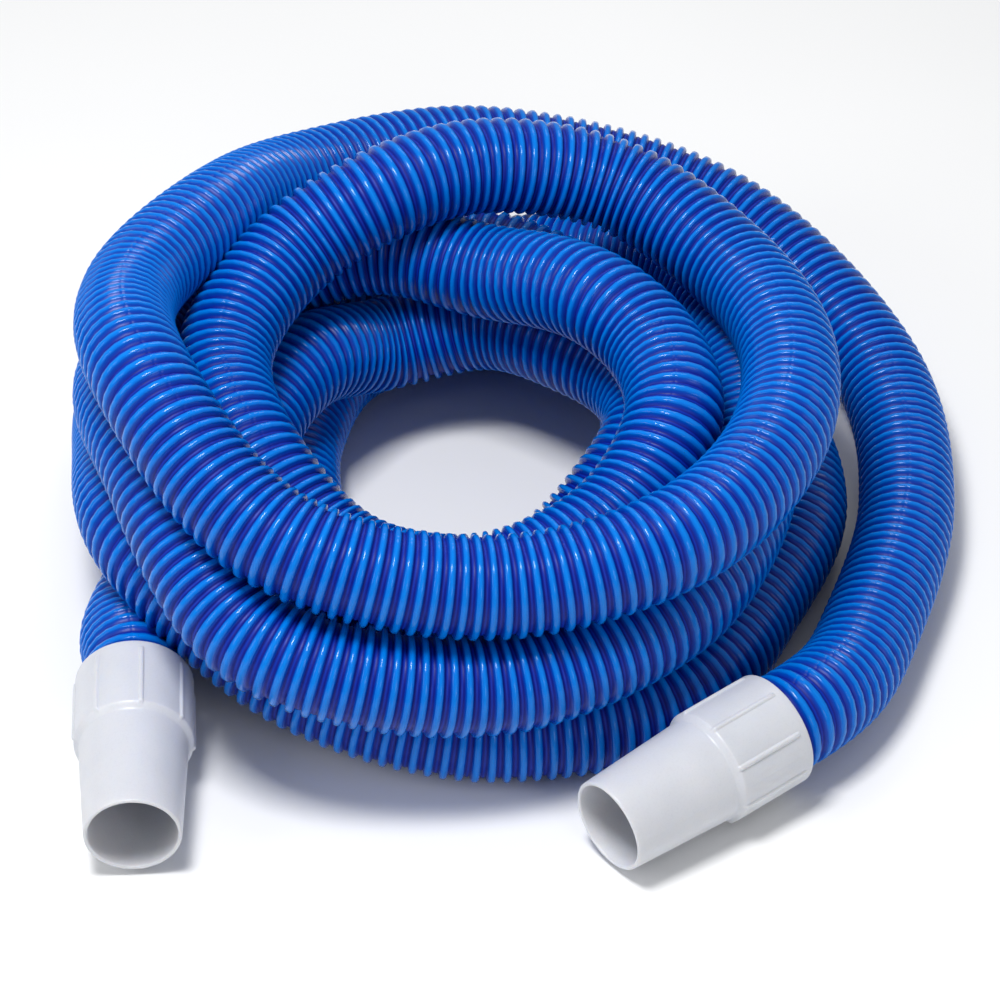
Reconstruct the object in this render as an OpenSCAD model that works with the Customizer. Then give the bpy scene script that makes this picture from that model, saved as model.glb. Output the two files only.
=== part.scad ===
// Coiled swimming-pool vacuum hose with a swivel cuff on each end.
// Frame: +Z up, origin on the floor under the middle of the whole part, the cuff mouths point to -Y.
// Millimetres and degrees throughout.

/* [Hose] */
// Diameter of the plain wall between the crests, the diameter of the swept tube
tube_d = 39; // [36:0.5:39.5]
// Sides of the swept tube
tube_sides = 12; // [8:1:12]

/* [Cuff] */
// Outside diameter of the sleeve, without its grip ribs
sleeve_d = 52; // [51.5:0.5:54]
// Length of the sleeve, from its rear rim to the shoulder
sleeve_len = 38; // [38:0.5:44]
// Length of the chamfer between the sleeve and the spigot
shoulder_len = 3; // [2:0.5:5]
// Length of the tapered spigot in front of the shoulder
spigot_len = 52; // [40:1:70]
// Outside diameter of the spigot at its root
spigot_root_d = 47.4; // [45:0.2:48]
// Outside diameter of the spigot at its mouth
spigot_mouth_d = 41.8; // [41:0.2:44]
// Diameter of the straight bore that takes a 1 1/2 inch pipe
bore_d = 38.1; // [37.5:0.1:38.5]
// Radius that rounds the lip of the mouth
lip_r = 0.8; // [0.4:0.1:0.9]

/* [Grip ribs] */
// Number of grip ribs around the sleeve
rib_count = 8; // [4:1:16]
// Height of a rib above the sleeve
rib_h = 0.9; // [0.5:0.1:1]
// Width of a rib
rib_w = 1.8; // [1:0.1:3]
// Plain length of sleeve behind the ribs
rib_rear_gap = 4.5; // [3:0.5:8]

/* [Swivel] */
// Bore of the sleeve that the collar turns in
swivel_d = 48.6; // [48.2:0.1:49]
// Bore of the lip that keeps the collar in
keeper_d = 46; // [45:0.1:46.5]
// Length of the lip that keeps the collar in
keeper_len = 6; // [4:0.5:8]
// Clearance between the turning faces
swivel_gap = 0.08; // [0.05:0.01:0.1]
// Thickness of the sealing washer
washer_t = 2; // [1.5:0.1:3]

/* [Lay] */
// How far each cuff dips from its rear rim to its mouth
cuff_dip = 3; // [2:0.5:4]
// Azimuth that the left cuff points to
left_azimuth = -86.5; // [-90:0.5:-84]
// Azimuth that the right cuff points to
right_azimuth = 218; // [214:0.5:220]

/* [Hidden] */
$fn = 96;

// Middle of the coil in the part's frame.
coil_x = -12.5;
coil_y = 4.5;
// Rear rims of the cuffs, from the middle of the coil.
left_rear = [-155, -135];
right_rear = [124, -165];
// The hose bends from the right cuff towards its first turn here.
right_bend = [156, -128];
// Angle between two stations of the coil, and the angle of the first one.
station_step = 30;
first_station = -30;
// Laid turns of the hose, one row each: [radius, lift above the floor lay] at every station, counter-clockwise.
turns = [
    [[195, 0], [195, 0], [215, 5], [225, 35], [210, 60], [180, 80],
     [150, 110], [160, 120], [170, 135], [180, 105], [165, 85], [160, 90]],
    [[145, 90], [135, 90], [130, 90], [125, 105], [105, 120], [95, 120],
     [110, 100], [120, 85], [120, 75], [120, 50], [125, 55], [110, 65]],
    [[95, 85], [75, 90], [60, 95], [60, 90], [75, 80], [110, 80],
     [155, 60], [165, 75], [170, 90], [195, 60], [175, 40], [155, 45]],
    [[130, 45], [120, 45], [135, 45], [175, 35], [200, 0], [210, 0],
     [195, 0], [170, 30], [175, 45], [165, 15], [160, 0], [160, 0]],
    [[140, 0], [145, 0], [150, 0], [150, 0], [150, 0], [135, 0],
     [105, 0], [90, 0], [90, 0], [65, 0], [65, 0], [60, 10]],
    [[65, 30], [75, 45], [75, 45], [75, 45], [90, 40], [100, 30],
     [100, 45], [110, 40], [130, 30], [110, 0], [110, 0], [105, 0]],
    [[95, 0], [85, 0], [90, 0], [120, 30], [140, 45], [165, 40],
     [150, 0], [135, 0], [185, 0]]
];
stations = [for (turn = turns) for (station = turn) station];

rib_r = sleeve_d / 2 + rib_h;
// The dipping sleeve just clears the floor when its ribs turn.
rear_z = rib_r + sleeve_len * sin(cuff_dip) + 0.1;
shoulder_end = sleeve_len + shoulder_len;
cuff_len = shoulder_end + spigot_len;
seat_s = sleeve_len - 3;
washer_s = seat_s - 0.1 - washer_t;
collar_start = 0.5;
lay_z = tube_d / 2;

function unit(v) = v / norm(v);
function cuff_dir(azimuth) = [cos(cuff_dip) * cos(azimuth), cos(cuff_dip) * sin(azimuth), -sin(cuff_dip)];
function rear_point(rear) = [coil_x + rear[0], coil_y + rear[1], rear_z];
function station_point(i) = let (a = first_station + station_step * i)
    [coil_x + stations[i][0] * cos(a), coil_y + stations[i][0] * sin(a), lay_z + stations[i][1]];

// Route of the hose, from inside the right cuff, round the coil and into the left cuff.
route = concat(
    [rear_point(right_rear) + washer_s * cuff_dir(right_azimuth), rear_point(right_rear)],
    [[coil_x + right_bend[0], coil_y + right_bend[1], lay_z + 2]],
    [for (i = [0 : len(stations) - 1]) station_point(i)],
    [rear_point(left_rear), rear_point(left_rear) + washer_s * cuff_dir(left_azimuth)]
);

// Tube of diameter d swept along the points, one ring of the given sides at each.
module swept_tube(points, d, sides) {
    last = len(points) - 1;
    function along(i) = unit(points[min(i + 1, last)] - points[max(i - 1, 0)]);
    function across(i) = unit(cross(along(i), [0, 0, 1]));
    ring_points = [for (i = [0 : last]) let (u = across(i), v = cross(u, along(i)))
        for (k = [0 : sides - 1]) points[i] + d / 2 * (cos(360 * k / sides) * u + sin(360 * k / sides) * v)];
    walls = [for (i = [0 : last - 1]) for (k = [0 : sides - 1])
        let (a = i * sides + k, b = i * sides + (k + 1) % sides)
        for (face = [[a, b, a + sides], [b, b + sides, a + sides]]) face];
    caps = [[for (k = [sides - 1 : -1 : 0]) k], [for (k = [0 : sides - 1]) last * sides + k]];
    polyhedron(ring_points, concat(walls, caps));
}

// Places a piece made along +Z, from the rear rim to the mouth, at a cuff.
module at_cuff(rear, azimuth) {
    translate(rear_point(rear)) rotate([0, 90 + cuff_dip, azimuth]) children();
}

module cuff_shell() {
    mouth_r = spigot_mouth_d / 2;
    rotate_extrude() polygon([
        [keeper_d / 2, 0], [sleeve_d / 2 - 0.6, 0], [sleeve_d / 2, 0.6],
        [sleeve_d / 2, sleeve_len], [spigot_root_d / 2, shoulder_end],
        [mouth_r, cuff_len - lip_r], [mouth_r - lip_r * 0.3, cuff_len - lip_r * 0.3],
        [mouth_r - lip_r, cuff_len], [bore_d / 2, cuff_len], [bore_d / 2, seat_s],
        [swivel_d / 2, seat_s], [swivel_d / 2, keeper_len], [keeper_d / 2, keeper_len]
    ]);
}

module grip_ribs() {
    for (k = [0 : rib_count - 1]) rotate(360 * k / rib_count - 10)
        translate([sleeve_d / 2 - 0.5, -rib_w / 2, rib_rear_gap])
            cube([rib_h + 0.5, rib_w, sleeve_len - rib_rear_gap + 0.4]);
}

module cuff_body() {
    union() {
        cuff_shell();
        grip_ribs();
    }
}

// Collar screwed onto the hose: a neck in the keeper lip and a barrel in the sleeve's bore.
module collar() {
    neck_r = keeper_d / 2 - swivel_gap;
    barrel_r = swivel_d / 2 - swivel_gap;
    barrel_s = keeper_len + 0.1;
    rotate_extrude() polygon([
        [tube_d / 2, collar_start], [neck_r, collar_start], [neck_r, barrel_s],
        [barrel_r, barrel_s], [barrel_r, washer_s], [tube_d / 2, washer_s]
    ]);
}

module washer() {
    translate([0, 0, washer_s]) difference() {
        cylinder(h = washer_t, d = swivel_d - 0.6);
        translate([0, 0, -1]) cylinder(h = washer_t + 2, d = bore_d - 1);
    }
}

module hose() {
    color("royalblue") swept_tube(route, tube_d, tube_sides);
}

module left_cuff() {
    color("whitesmoke") at_cuff(left_rear, left_azimuth) cuff_body();
}

module left_collar() {
    color("gainsboro") at_cuff(left_rear, left_azimuth) collar();
}

module left_washer() {
    color("dimgray") at_cuff(left_rear, left_azimuth) washer();
}

module right_cuff() {
    color("whitesmoke") at_cuff(right_rear, right_azimuth) cuff_body();
}

module right_collar() {
    color("gainsboro") at_cuff(right_rear, right_azimuth) collar();
}

module right_washer() {
    color("dimgray") at_cuff(right_rear, right_azimuth) washer();
}

hose();
left_cuff();
left_collar();
left_washer();
right_cuff();
right_collar();
right_washer();
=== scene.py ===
"""Looks of the coiled pool vacuum hose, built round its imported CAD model. Metres, the part's own frame."""
import math

import bpy
import numpy as np
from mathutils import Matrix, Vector


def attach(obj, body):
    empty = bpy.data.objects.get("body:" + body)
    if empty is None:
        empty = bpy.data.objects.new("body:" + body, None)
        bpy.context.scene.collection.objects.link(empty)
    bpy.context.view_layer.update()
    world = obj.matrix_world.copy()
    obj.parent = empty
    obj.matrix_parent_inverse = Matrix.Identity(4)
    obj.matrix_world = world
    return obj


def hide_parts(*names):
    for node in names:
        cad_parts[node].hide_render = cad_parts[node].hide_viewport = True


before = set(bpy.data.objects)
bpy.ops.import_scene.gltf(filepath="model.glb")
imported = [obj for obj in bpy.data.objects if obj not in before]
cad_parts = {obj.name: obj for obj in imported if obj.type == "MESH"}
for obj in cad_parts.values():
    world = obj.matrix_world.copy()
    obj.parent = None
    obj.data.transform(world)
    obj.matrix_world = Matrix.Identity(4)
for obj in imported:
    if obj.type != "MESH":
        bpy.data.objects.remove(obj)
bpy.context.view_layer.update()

# Camera, at the angle that the object is seen from.
camera = bpy.data.objects.new("camera", bpy.data.cameras.new("camera"))
bpy.context.scene.collection.objects.link(camera)
camera.location = (-0.0072, -1.4474, 1.1598)
camera.rotation_euler = (math.radians(52), 0, 0)
camera.data.lens = 142.3
camera.data.sensor_width = 36
bpy.context.scene.camera = camera

# Sizes and lay, the same as in the CAD source, in millimetres and degrees.
CREST_R, PITCH = 22.5, 6.1
SLEEVE_R, SHOULDER, CUFF = 26.0, 41.0, 93.0
ROOT_SPIGOT_R, MOUTH_R, MOUTH_BORE_R = 23.7, 20.9, 19.05
RIBS, RIB_H, RIB_W, RIB_REAR, FIRST_RIB = 8, 0.9, 1.8, 4.5, -10
SWIVEL_R, KEEPER_R, KEEPER = 24.3, 23.0, 6.0
DIP, REAR_Z = math.radians(3), 28.99
COIL = (-12.5, 4.5)
LEFT_REAR, LEFT_AZIMUTH = (-155, -135), -86.5
RIGHT_REAR, RIGHT_AZIMUTH = (124, -165), 218
RIGHT_BEND, BEND_LIFT = (156, -128), 2
# Every station is (distance from the coil's middle, height of the hose's underside above the floor).
# The next one is 30 degrees further round.
FIRST_STATION, STATION_STEP = -30, 30
TURNS = [
    [(195, 0), (195, 0), (215, 5), (225, 35), (210, 60), (180, 80),
     (150, 110), (160, 120), (170, 135), (180, 105), (165, 85), (160, 90)],
    [(145, 90), (135, 90), (130, 90), (125, 105), (105, 120), (95, 120),
     (110, 100), (120, 85), (120, 75), (120, 50), (125, 55), (110, 65)],
    [(95, 85), (75, 90), (60, 95), (60, 90), (75, 80), (110, 80),
     (155, 60), (165, 75), (170, 90), (195, 60), (175, 40), (155, 45)],
    [(130, 45), (120, 45), (135, 45), (175, 35), (200, 0), (210, 0),
     (195, 0), (170, 30), (175, 45), (165, 15), (160, 0), (160, 0)],
    [(140, 0), (145, 0), (150, 0), (150, 0), (150, 0), (135, 0),
     (105, 0), (90, 0), (90, 0), (65, 0), (65, 0), (60, 10)],
    [(65, 30), (75, 45), (75, 45), (75, 45), (90, 40), (100, 30),
     (100, 45), (110, 40), (130, 30), (110, 0), (110, 0), (105, 0)],
    [(95, 0), (85, 0), (90, 0), (120, 30), (140, 45), (165, 40),
     (150, 0), (135, 0), (185, 0)],
]
INSIDE = 28.0  # length of hose inside each cuff

# Sizes of the looks only, in millimetres.
WALL_R, BORE_R = 19.4, 17.8  # plain end of the hose, and its hollow
END_RINGS = (1.0, 6.0, 12.0, 20.0, INSIDE)  # rings of each plain end, from the last crest on
HOLLOW_RINGS, HOLLOW_STEP = 88, 8  # how many rings deep the hollow goes, and how many it skips at a time
ROUTE_STEP, LINE_STEP = 2.0, 1.0
PATH_EVERY = 8  # rings per point of the cord's measured path
# One corrugation: (part of the pitch from the middle of the crest, radius).
# A flat crest, steep sides and a low lip.
CORRUGATION = [(0.0, 22.5), (0.14, 22.4), (0.235, 21.8), (0.31, 19.9),
               (0.5, 20.25), (0.69, 19.9), (0.765, 21.8), (0.86, 22.4)]
# Points across a cuff's rib and its edges, from the rib's middle.
RIB_POINTS = (-2.6, -2.0, -1.6, -1.3, -1.0, -0.7, -0.35, 0.0, 0.35, 0.7, 1.0, 1.3, 1.6, 2.0, 2.6)
RIB_EDGE = 0.7  # width of a rib's soft edge
RIB_FADE, RIB_END = 37.3, 38.9  # where the ribs start to sink into the shoulder, and where they are gone


def cuff_axis(azimuth):
    a = math.radians(azimuth)
    return np.array([math.cos(DIP) * math.cos(a), math.cos(DIP) * math.sin(a), -math.sin(DIP)])


def rear_point(rear):
    return np.array([COIL[0] + rear[0], COIL[1] + rear[1], REAR_Z])


def smooth_line(points, samples):
    """Centripetal Catmull-Rom line through the points."""
    p = np.array([2 * points[0] - points[1], *points, 2 * points[-1] - points[-2]])
    out = []
    for i in range(1, len(p) - 2):
        a, b, c, d = p[i - 1], p[i], p[i + 1], p[i + 2]
        t0 = 0.0
        t1 = t0 + np.linalg.norm(b - a) ** 0.5
        t2 = t1 + np.linalg.norm(c - b) ** 0.5
        t3 = t2 + np.linalg.norm(d - c) ** 0.5
        t = np.linspace(t1, t2, samples, endpoint=False)[:, None]
        ab = (t1 - t) / (t1 - t0) * a + (t - t0) / (t1 - t0) * b
        bc = (t2 - t) / (t2 - t1) * b + (t - t1) / (t2 - t1) * c
        cd = (t3 - t) / (t3 - t2) * c + (t - t2) / (t3 - t2) * d
        abc = (t2 - t) / (t2 - t0) * ab + (t - t0) / (t2 - t0) * bc
        bcd = (t3 - t) / (t3 - t1) * bc + (t - t1) / (t3 - t1) * cd
        out.append((t2 - t) / (t2 - t1) * abc + (t - t1) / (t2 - t1) * bcd)
    out.append(p[-2][None])
    return np.concatenate(out)


def at_distances(line, at, s):
    """Values of a line's columns, known at the distances at, read off at the distances s."""
    return np.column_stack([np.interp(s, at, line[:, k]) for k in range(3)])


def even(line, step):
    """The same line with evenly spaced points, and their distances along it."""
    s = np.concatenate([[0], np.cumsum(np.linalg.norm(np.diff(line, axis=0), axis=1))])
    count = max(2, round(s[-1] / step))
    at = np.linspace(0, s[-1], count + 1)
    return at_distances(line, s, at), at


def soften(values, width):
    kernel = np.hanning(2 * width + 1)
    kernel /= kernel.sum()
    return np.convolve(np.pad(values, width, mode="edge"), kernel, mode="valid")


def hose_line():
    """Middle line of the hose, from the right cuff round the coil to the left one."""
    right, left = cuff_axis(RIGHT_AZIMUTH), cuff_axis(LEFT_AZIMUTH)
    right_rear, left_rear = rear_point(RIGHT_REAR), rear_point(LEFT_REAR)
    points = [right_rear + INSIDE * right, right_rear, right_rear - 15 * right]
    points.append(np.array([COIL[0] + RIGHT_BEND[0], COIL[1] + RIGHT_BEND[1], CREST_R + BEND_LIFT]))
    stations = [station for turn in TURNS for station in turn]
    for i, (radius, lift) in enumerate(stations):
        a = math.radians(FIRST_STATION + STATION_STEP * i)
        points.append(np.array([COIL[0] + radius * math.cos(a), COIL[1] + radius * math.sin(a), CREST_R + lift]))
    points += [left_rear - 12 * left, left_rear, left_rear + INSIDE * left]
    line, _ = even(smooth_line(points, 24), ROUTE_STEP)
    # The stretches in the cuffs keep their exact place. The rest is eased, and never sinks into the floor.
    inner = slice(20, -20)
    for k in range(2):
        line[inner, k] = soften(line[:, k], 6)[inner]
    z = np.maximum(line[:, 2], CREST_R)
    z[inner] = soften(z, 8)[inner]
    line[:, 2] = np.maximum(z, CREST_R)
    return line


def new_object(name, vertices, faces, uvs=None):
    mesh = bpy.data.meshes.new(name)
    mesh.from_pydata(vertices.tolist(), [], faces)
    if uvs is not None:
        layer = mesh.uv_layers.new(name="UVMap")
        index = np.zeros(len(mesh.loops), dtype=np.int32)
        mesh.loops.foreach_get("vertex_index", index)
        layer.data.foreach_set("uv", uvs[index].astype(np.float32).ravel())
    mesh.polygons.foreach_set("use_smooth", [True] * len(mesh.polygons))
    mesh.update()
    obj = bpy.data.objects.new(name, mesh)
    bpy.context.scene.collection.objects.link(obj)
    return obj


def ring_faces(rings, sides, closed_ends=True):
    faces = []
    for i in range(rings - 1):
        for k in range(sides):
            a, b = i * sides + k, i * sides + (k + 1) % sides
            faces.append((a, b, b + sides, a + sides))
    if closed_ends:
        faces.append(tuple(range(sides - 1, -1, -1)))
        faces.append(tuple((rings - 1) * sides + k for k in range(sides)))
    return faces


def make_hose(sides=24):
    """The corrugated tube, its middle line in metres and its length in metres."""
    line, at = even(hose_line(), LINE_STEP)
    total = at[-1]
    ribs = round((total - 2 * INSIDE) / PITCH)
    pitch = (total - 2 * INSIDE) / ribs
    rings = [(INSIDE + (i + part) * pitch, i + part, r) for i in range(ribs) for part, r in CORRUGATION]
    rings.append((total - INSIDE, ribs, CREST_R))
    first = [(INSIDE - d, -d / pitch, WALL_R) for d in reversed(END_RINGS)]
    final = [(total - INSIDE + d, ribs + d / pitch, WALL_R) for d in END_RINGS]
    s, phase, radius = (np.array(column) for column in zip(*first, *rings, *final))
    centres = at_distances(line, at, s)
    slope = np.gradient(line, axis=0)
    slope = np.column_stack([soften(slope[:, k], 12) for k in range(3)])
    tangent = at_distances(slope, at, s)
    tangent /= np.linalg.norm(tangent, axis=1)[:, None]
    # The wall turns in at both ends, so that each cuff looks down a hollow hose.
    steps = list(range(HOLLOW_RINGS, 0, -HOLLOW_STEP))
    last = len(s) - 1
    order = steps + [0] + list(range(len(s))) + [last] + [last - k for k in reversed(steps)]
    inner = len(steps) + 1
    radii = np.concatenate([[BORE_R] * inner, radius, [BORE_R] * inner])
    centre, along = centres[order], tangent[order]
    across = np.cross(along, [0, 0, 1])
    across /= np.linalg.norm(across, axis=1)[:, None]
    up = np.cross(across, along)
    angle = np.linspace(0, 2 * math.pi, sides, endpoint=False)
    circle = np.cos(angle)[None, :, None] * across[:, None, :] + np.sin(angle)[None, :, None] * up[:, None, :]
    vertices = centre[:, None, :] + radii[:, None, None] * circle
    # U counts the corrugations, a whole number on every crest. V goes from 0 to 1 and back round the tube.
    uvs = np.zeros((len(order), sides, 2))
    uvs[:, :, 0] = phase[order][:, None]
    uvs[:, :, 1] = (1 - np.abs(angle / math.pi - 1))[None, :]
    obj = new_object("corrugated_hose", vertices.reshape(-1, 3) / 1000,
                     ring_faces(len(order), sides), uvs.reshape(-1, 2))
    return obj, centres[::PATH_EVERY] / 1000, total / 1000


# The hose: one corrugated tube along its whole length.
hose, hose_path, hose_length = make_hose()
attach(hose, "hose")
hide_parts("hose")


def place(vertices, rear, azimuth):
    """Points of a piece made along +Z, from the rear rim to the mouth, put at a cuff."""
    turn = math.radians(90) + DIP
    a = math.radians(azimuth)
    about_y = np.array([[math.cos(turn), 0, math.sin(turn)], [0, 1, 0], [-math.sin(turn), 0, math.cos(turn)]])
    about_z = np.array([[math.cos(a), -math.sin(a), 0], [math.sin(a), math.cos(a), 0], [0, 0, 1]])
    return (vertices @ (about_z @ about_y).T + rear_point(rear)) / 1000


def arc(s, r, start, end, radius, steps=4):
    """Points (s, r) of an arc about a centre, angles in degrees from +s towards +r."""
    turns = np.radians(np.linspace(start, end, steps + 1))
    return [(s + radius * math.cos(t), r + radius * math.sin(t)) for t in turns]


def cuff_outside():
    """Outer half of the cuff's profile as (distance from the rear rim, radius), ribs left out."""
    lip = (MOUTH_R - MOUTH_BORE_R) / 2
    outer = [(0.0, KEEPER_R + 0.4), *arc(0.9, SLEEVE_R - 0.9, 180, 90, 0.9)]
    outer += [(s, SLEEVE_R) for s in (2.0, 3.4, 4.0, 4.5, 5.0, 8.0, 14.0, 20.0, 26.0, 32.0, 36.0, 37.2)]
    outer += [(37.8, SLEEVE_R - 0.06), (38.3, SLEEVE_R - 0.3), (39.0, SLEEVE_R - 0.85), (40.2, SLEEVE_R - 1.8)]
    outer += [(40.8, ROOT_SPIGOT_R + 0.12), (41.4, ROOT_SPIGOT_R)]
    for s in (44.0, 52.0, 60.0, 68.0, 76.0, 84.0, 90.0):
        outer.append((s, ROOT_SPIGOT_R + (MOUTH_R - ROOT_SPIGOT_R) * (s - SHOULDER) / (CUFF - SHOULDER)))
    return outer + arc(CUFF - lip, MOUTH_R - lip, 90, -90, lip, 8)


def cuff_inside():
    """Inner half, from the mouth back to the rear rim: spigot bore, swivel chamber, keeper lip."""
    inner = [(s, MOUTH_BORE_R) for s in (88.0, 76.0, 64.0, 52.0, 40.0)]
    inner += arc(35.4, MOUTH_BORE_R + 0.4, -90, -180, 0.4, 2)
    inner += [(35.0, 22.0), (35.0, SWIVEL_R - 0.1), (34.8, SWIVEL_R), (20.0, SWIVEL_R), (KEEPER + 0.2, SWIVEL_R)]
    inner += [(KEEPER, SWIVEL_R - 0.2), (KEEPER, KEEPER_R + 0.2), (KEEPER - 0.2, KEEPER_R), (0.4, KEEPER_R)]
    return inner


def make_cuff(name, rear, azimuth):
    outer = cuff_outside()
    profile = outer + cuff_inside()
    spacing = 360 / RIBS
    angles = []
    for k in range(RIBS):
        centre = 360 * k / RIBS + FIRST_RIB
        angles += [centre + d / SLEEVE_R * 180 / math.pi for d in RIB_POINTS]
        angles += list(np.linspace(centre + 9, centre + 36, 10))
    angles = np.radians(np.array(angles))
    # Each rib is a smooth step up across its edges.
    offset = (np.degrees(angles) - FIRST_RIB + spacing / 2) % spacing - spacing / 2
    side = np.abs(np.radians(offset)) * SLEEVE_R
    rib = np.clip((RIB_W / 2 + RIB_EDGE / 2 - side) / RIB_EDGE, 0, 1)
    rib = rib * rib * (3 - 2 * rib)
    rings = []
    for i, (s, r) in enumerate(profile):
        rise = np.clip((s - RIB_REAR + 0.5) / 1.2, 0, 1) * (s <= 38.4) * (i < len(outer))
        height = rib * RIB_H * rise
        if s > RIB_FADE:
            height = height * np.clip((RIB_END - s) / 1.2, 0, 1)
        ring = [(r + height) * np.cos(angles), (r + height) * np.sin(angles), np.full(len(angles), s)]
        rings.append(np.column_stack(ring))
    sides = len(angles)
    faces = ring_faces(len(profile), sides, closed_ends=False)
    last = (len(profile) - 1) * sides
    faces += [(last + k, last + (k + 1) % sides, (k + 1) % sides, k) for k in range(sides)]
    uvs = np.zeros((len(profile), sides, 2))
    uvs[:, :, 0] = np.array([s for s, _ in profile])[:, None] / 100
    uvs[:, :, 1] = (angles / (2 * math.pi))[None, :] % 1
    return new_object(name, place(np.concatenate(rings), rear, azimuth), faces, uvs.reshape(-1, 2))


cuffs = []
for name, rear, azimuth in (("left", LEFT_REAR, LEFT_AZIMUTH), ("right", RIGHT_REAR, RIGHT_AZIMUTH)):
    cuff = make_cuff(name + "_swivel_cuff", rear, azimuth)
    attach(cuff, name + "_cuff")
    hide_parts(name + "_cuff")
    cuffs.append(cuff)


class Nodes:
    """Small helper that wires a material's nodes."""

    def __init__(self, name):
        self.material = bpy.data.materials.new(name)
        self.material.use_nodes = True
        self.tree = self.material.node_tree
        self.shader = self.tree.nodes["Principled BSDF"]

    def add(self, kind, **settings):
        node = self.tree.nodes.new(kind)
        for key, value in settings.items():
            setattr(node, key, value)
        return node

    def link(self, a, b):
        self.tree.links.new(a, b)

    def math(self, operation, a, b=None, c=None):
        node = self.add("ShaderNodeMath", operation=operation)
        for i, value in enumerate((a, b, c)):
            if value is None:
                continue
            if isinstance(value, (int, float)):
                node.inputs[i].default_value = value
            else:
                self.link(value, node.inputs[i])
        return node.outputs[0]

    def ramp(self, factor, stops):
        node = self.add("ShaderNodeValToRGB")
        elements = node.color_ramp.elements
        while len(elements) < len(stops):
            elements.new(0.5)
        for element, (position, colour) in zip(elements, stops):
            element.position = position
            element.color = (*colour, 1)
        self.link(factor, node.inputs["Fac"])
        return node.outputs["Color"]

    def noise(self, scale, detail):
        where = self.add("ShaderNodeTexCoord")
        node = self.add("ShaderNodeTexNoise")
        node.inputs["Scale"].default_value = scale
        node.inputs["Detail"].default_value = detail
        self.link(where.outputs["Object"], node.inputs["Vector"])
        return node.outputs["Fac"]

    def bump(self, height, strength, distance, normal=None):
        node = self.add("ShaderNodeBump")
        node.inputs["Strength"].default_value = strength
        node.inputs["Distance"].default_value = distance
        self.link(height, node.inputs["Height"])
        if normal is not None:
            self.link(normal, node.inputs["Normal"])
        return node.outputs["Normal"]

    def uv(self):
        """The two UV coordinates."""
        axes = self.add("ShaderNodeSeparateXYZ")
        self.link(self.add("ShaderNodeUVMap").outputs["UV"], axes.inputs["Vector"])
        return axes.outputs["X"], axes.outputs["Y"]

    def from_value(self, value, middle):
        """Distance of a value from the middle."""
        return self.math("ABSOLUTE", self.math("SUBTRACT", value, middle))

    def mould_line(self, v, middle, sharpness):
        """One along the line where V is at the middle, falling to zero beside it."""
        beside = self.math("MULTIPLY", self.from_value(v, middle), sharpness)
        return self.math("SUBTRACT", 1.0, self.math("SMOOTH_MIN", beside, 1.0, 0.2))


def grey(value):
    return (value, value, value)


def scaled(n, colour, factor):
    """Colour multiplied by a grey factor."""
    mix = n.add("ShaderNodeMix", data_type="RGBA", blend_type="MULTIPLY")
    mix.inputs[0].default_value = 1.0
    n.link(colour, mix.inputs[6])
    n.link(factor, mix.inputs[7])
    return mix.outputs[2]


def hose_material():
    n = Nodes("blue_hose_plastic")
    u, v = n.uv()
    # Zero in the middle of a groove, one on the middle of a crest.
    from_groove = n.math("MULTIPLY", n.from_value(n.math("FRACT", u), 0.5), 2.0)
    # Painted shade: the blue is painted darker down in the grooves and brighter on the crests, standing in for
    # the shade that falls in the recesses.
    groove_shade_colour = n.ramp(from_groove, [
        (0.0, (0.0003, 0.03, 0.4)), (0.2, (0.0002, 0.008, 0.22)), (0.34, (0.0002, 0.01, 0.25)),
        (0.46, (0.0003, 0.04, 0.38)), (0.62, (0.0006, 0.14, 0.6)), (1.0, (0.0008, 0.2, 0.72))])
    patch = n.ramp(n.noise(28, 2), [(0.3, (0.88, 0.9, 0.93)), (0.7, grey(1))])
    speck = n.ramp(n.noise(900, 2), [(0.25, (0.93, 0.94, 0.96)), (0.6, grey(1))])
    n.link(scaled(n, scaled(n, groove_shade_colour, patch), speck), n.shader.inputs["Base Color"])
    worn = n.ramp(n.noise(60, 4), [(0.3, grey(0.62)), (0.75, grey(1))])
    rough = n.ramp(from_groove, [(0.38, grey(0.6)), (0.55, grey(0.17))])
    n.link(scaled(n, rough, worn), n.shader.inputs["Roughness"])
    # Faint mould lines along the top and the bottom, and the fine grain of the wall.
    grain = n.bump(n.noise(1400, 2), 0.06, 0.0004)
    n.link(n.bump(n.mould_line(v, 0.5, 60.0), 0.25, 0.0004, grain), n.shader.inputs["Normal"])
    n.shader.inputs["IOR"].default_value = 1.5
    n.shader.inputs["Specular IOR Level"].default_value = 0.22
    return n.material


def cuff_material():
    n = Nodes("white_cuff_plastic")
    _, v = n.uv()
    tone = n.ramp(n.noise(35, 3), [(0.3, (0.6, 0.615, 0.66)), (0.7, (0.65, 0.66, 0.7))])
    speck = n.ramp(n.noise(1100, 2), [(0.2, (0.95, 0.95, 0.96)), (0.5, grey(1))])
    n.link(scaled(n, tone, speck), n.shader.inputs["Base Color"])
    n.link(n.ramp(n.noise(90, 4), [(0.3, grey(0.3)), (0.75, grey(0.44))]), n.shader.inputs["Roughness"])
    grain = n.bump(n.noise(1600, 3), 0.08, 0.0003)
    n.link(n.bump(n.mould_line(v, 0.285, 400.0), 0.15, 0.0003, grain), n.shader.inputs["Normal"])
    n.shader.inputs["Subsurface Weight"].default_value = 0.35
    n.shader.inputs["Subsurface Radius"].default_value = (0.004, 0.003, 0.002)
    n.shader.inputs["Subsurface Scale"].default_value = 1.0
    return n.material


def moulded_material(name, dark, light, rough_low, rough_high, grain_scale, strength):
    n = Nodes(name)
    n.link(n.ramp(n.noise(70, 3), [(0.3, dark), (0.7, light)]), n.shader.inputs["Base Color"])
    rough = n.ramp(n.noise(120, 3), [(0.3, grey(rough_low)), (0.75, grey(rough_high))])
    n.link(rough, n.shader.inputs["Roughness"])
    n.link(n.bump(n.noise(grain_scale, 3), strength, 0.0003), n.shader.inputs["Normal"])
    return n.material


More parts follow.
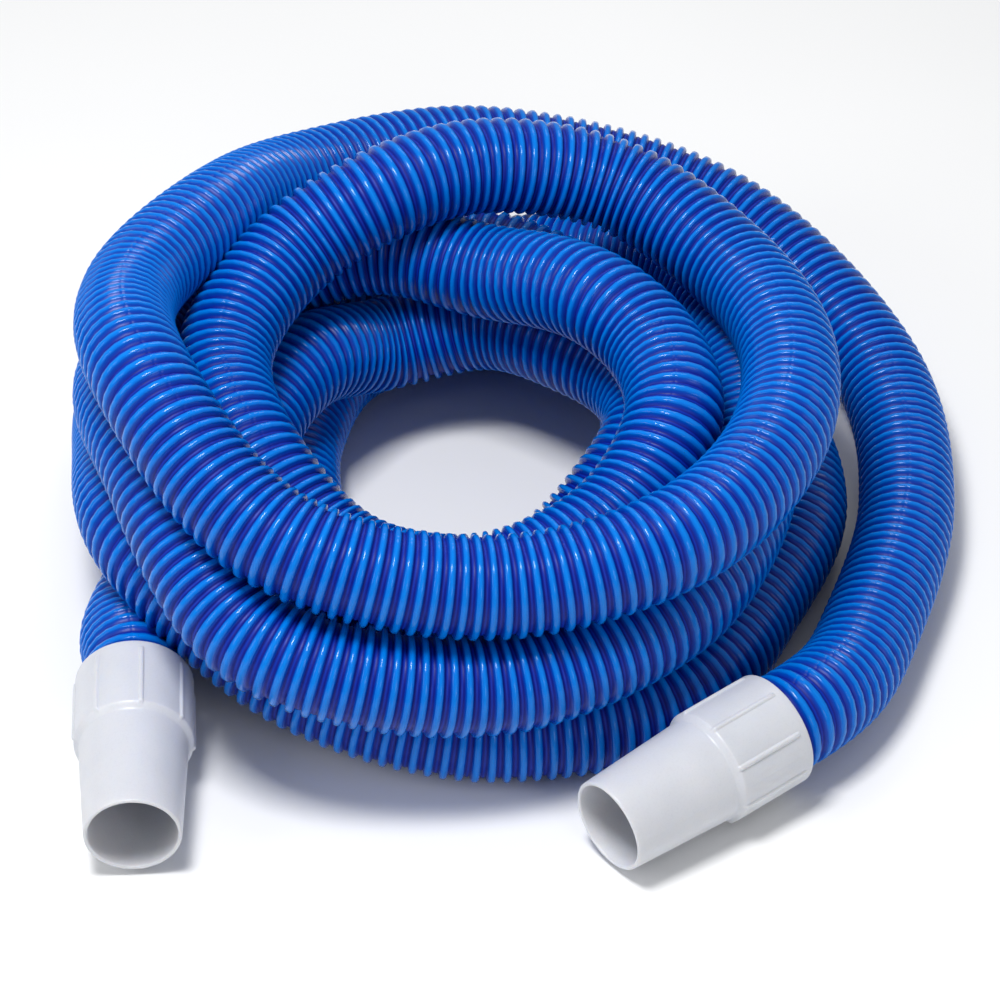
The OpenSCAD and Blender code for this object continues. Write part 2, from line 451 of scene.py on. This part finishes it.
def dress(obj, material):
    obj.data.materials.clear()
    obj.data.materials.append(material)


dress(hose, hose_material())
white = cuff_material()
for cuff in cuffs:
    dress(cuff, white)
collar = moulded_material("collar_plastic", (0.55, 0.56, 0.58), (0.64, 0.65, 0.67), 0.45, 0.6, 1500, 0.12)
rubber = moulded_material("seal_rubber", (0.02, 0.02, 0.022), (0.035, 0.035, 0.038), 0.6, 0.8, 2200, 0.25)
for side in ("left", "right"):
    dress(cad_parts[side + "_collar"], collar)
    dress(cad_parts[side + "_washer"], rubber)

# Pale floor and soft studio light.
FLOOR = 20.0  # from the middle to each edge
corners = np.array([[-FLOOR, -FLOOR, 0], [FLOOR, -FLOOR, 0], [FLOOR, FLOOR, 0], [-FLOOR, FLOOR, 0]])
floor = new_object("floor", corners, [(0, 1, 2, 3)])
floor_nodes = Nodes("floor_white")
tint = floor_nodes.ramp(floor_nodes.noise(3, 2), [(0.3, grey(0.9)), (0.7, grey(0.92))])
floor_nodes.link(tint, floor_nodes.shader.inputs["Base Color"])
floor_nodes.shader.inputs["Roughness"].default_value = 0.9
floor_nodes.shader.inputs["Specular IOR Level"].default_value = 0.0
dress(floor, floor_nodes.material)

world = bpy.data.worlds.new("studio")
bpy.context.scene.world = world
world.use_nodes = True
world.node_tree.nodes["Background"].inputs["Color"].default_value = (0.96, 0.98, 1.0, 1)
world.node_tree.nodes["Background"].inputs["Strength"].default_value = 0.33
bpy.context.scene.view_settings.view_transform = "Standard"

LIGHT_AIM = (0, 0, 0.05)


def area_light(name, location, size, watts):
    light = bpy.data.lights.new(name, "AREA")
    light.shape = "RECTANGLE"
    light.size, light.size_y = size
    light.energy = watts
    obj = bpy.data.objects.new(name, light)
    bpy.context.scene.collection.objects.link(obj)
    obj.location = location
    obj.rotation_euler = (Vector(LIGHT_AIM) - Vector(location)).to_track_quat("-Z", "Y").to_euler()


area_light("key", (-0.3, -0.4, 1.5), (0.4, 0.4), 19)
area_light("left", (-1.5, -0.6, 0.9), (0.8, 0.8), 5)
area_light("front", (0.9, -1.6, 0.8), (0.6, 0.6), 4)
area_light("back", (0.2, 1.1, 1.3), (0.8, 0.5), 4)
